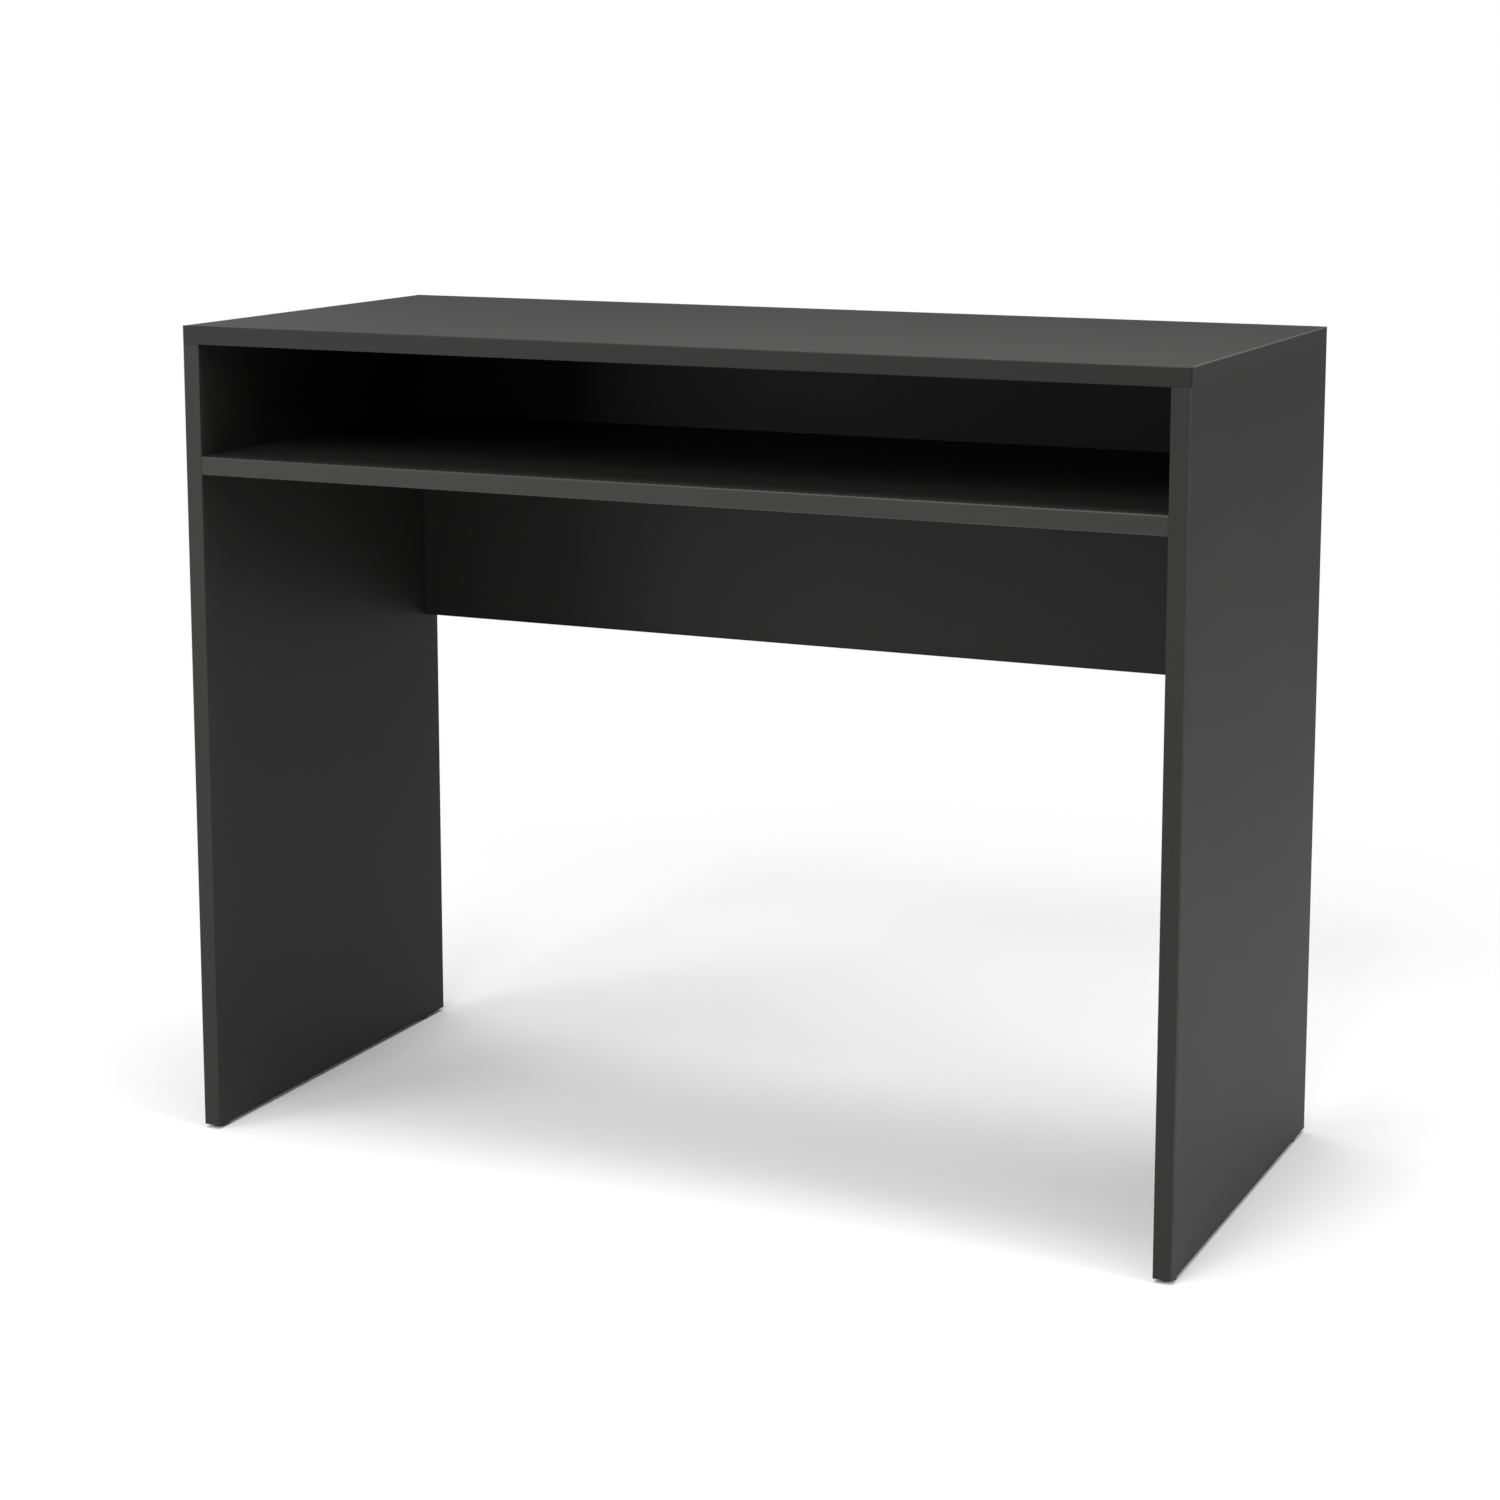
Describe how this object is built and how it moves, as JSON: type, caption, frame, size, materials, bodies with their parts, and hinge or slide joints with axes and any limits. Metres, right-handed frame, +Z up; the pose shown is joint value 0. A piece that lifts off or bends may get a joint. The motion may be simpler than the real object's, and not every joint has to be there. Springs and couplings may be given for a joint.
{
  "type": "computer desk",
  "caption": "Small computer desk: flat top on two full-depth side panels, a fixed keyboard shelf close under the top and a back panel between the sides, all in charcoal board.",
  "frame": {"origin": "on the floor, under the middle of the desk", "axes": "+X to the right along the width as the sitter faces the desk, +Y from the sitter to the back panel, +Z up"},
  "size_m": [0.9, 0.4, 0.72],
  "materials": {
    "charcoal_melamine": "matt charcoal melamine on chipboard, very fine texture, no grain",
    "edge_band": "matt charcoal plastic edge band",
    "charcoal_plastic": "matt charcoal plastic, matched to the boards",
    "cast_zinc": "die-cast zinc, satin grey",
    "zinc_plated_steel": "zinc plated",
    "beech": "plain beech, unfinished",
    "black_plastic": "moulded black plastic, satin"
  },
  "bodies": {
    "root": {"back_panel": "charcoal_melamine", "back_panel_bottom_band": "edge_band", "cam_back_left_lower": "cast_zinc", "cam_back_left_upper": "cast_zinc", "cam_back_right_lower": "cast_zinc", "cam_back_right_upper": "cast_zinc", "cam_bolt_back_left_lower": "zinc_plated_steel", "cam_bolt_back_left_upper": "zinc_plated_steel", "cam_bolt_back_right_lower": "zinc_plated_steel", "cam_bolt_back_right_upper": "zinc_plated_steel", "cam_bolt_shelf_left_front": "zinc_plated_steel", "cam_bolt_shelf_left_rear": "zinc_plated_steel", "cam_bolt_shelf_right_front": "zinc_plated_steel", "cam_bolt_shelf_right_rear": "zinc_plated_steel", "cam_bolt_top_left_front": "zinc_plated_steel", "cam_bolt_top_left_rear": "zinc_plated_steel", "cam_bolt_top_right_front": "zinc_plated_steel", "cam_bolt_top_right_rear": "zinc_plated_steel", "cam_shelf_left_front": "cast_zinc", "cam_shelf_left_rear": "cast_zinc", "cam_shelf_right_front": "cast_zinc", "cam_shelf_right_rear": "cast_zinc", "cam_top_left_front": "cast_zinc", "cam_top_left_rear": "cast_zinc", "cam_top_right_front": "cast_zinc", "cam_top_right_rear": "cast_zinc", "cap_top_left_front": "charcoal_plastic", "cap_top_left_rear": "charcoal_plastic", "cap_top_right_front": "charcoal_plastic", "cap_top_right_rear": "charcoal_plastic", "desk_top": "charcoal_melamine", "desk_top_front_band": "edge_band", "desk_top_left_band": "edge_band", "desk_top_rear_band": "edge_band", "desk_top_right_band": "edge_band", "dowel_back_left": "beech", "dowel_back_right": "beech", "dowel_back_top_left": "beech", "dowel_back_top_right": "beech", "dowel_shelf_left": "beech", "dowel_shelf_right": "beech", "dowel_top_left_front": "beech", "dowel_top_left_rear": "beech", "dowel_top_right_front": "beech", "dowel_top_right_rear": "beech", "glide_front_left": "black_plastic", "glide_front_right": "black_plastic", "glide_rear_left": "black_plastic", "glide_rear_right": "black_plastic", "keyboard_shelf": "charcoal_melamine", "keyboard_shelf_front_band": "edge_band", "left_side_panel": "charcoal_melamine", "left_side_panel_bottom_band": "edge_band", "left_side_panel_front_band": "edge_band", "left_side_panel_rear_band": "edge_band", "right_side_panel": "charcoal_melamine", "right_side_panel_bottom_band": "edge_band", "right_side_panel_front_band": "edge_band", "right_side_panel_rear_band": "edge_band"}
  },
  "joints": []
}
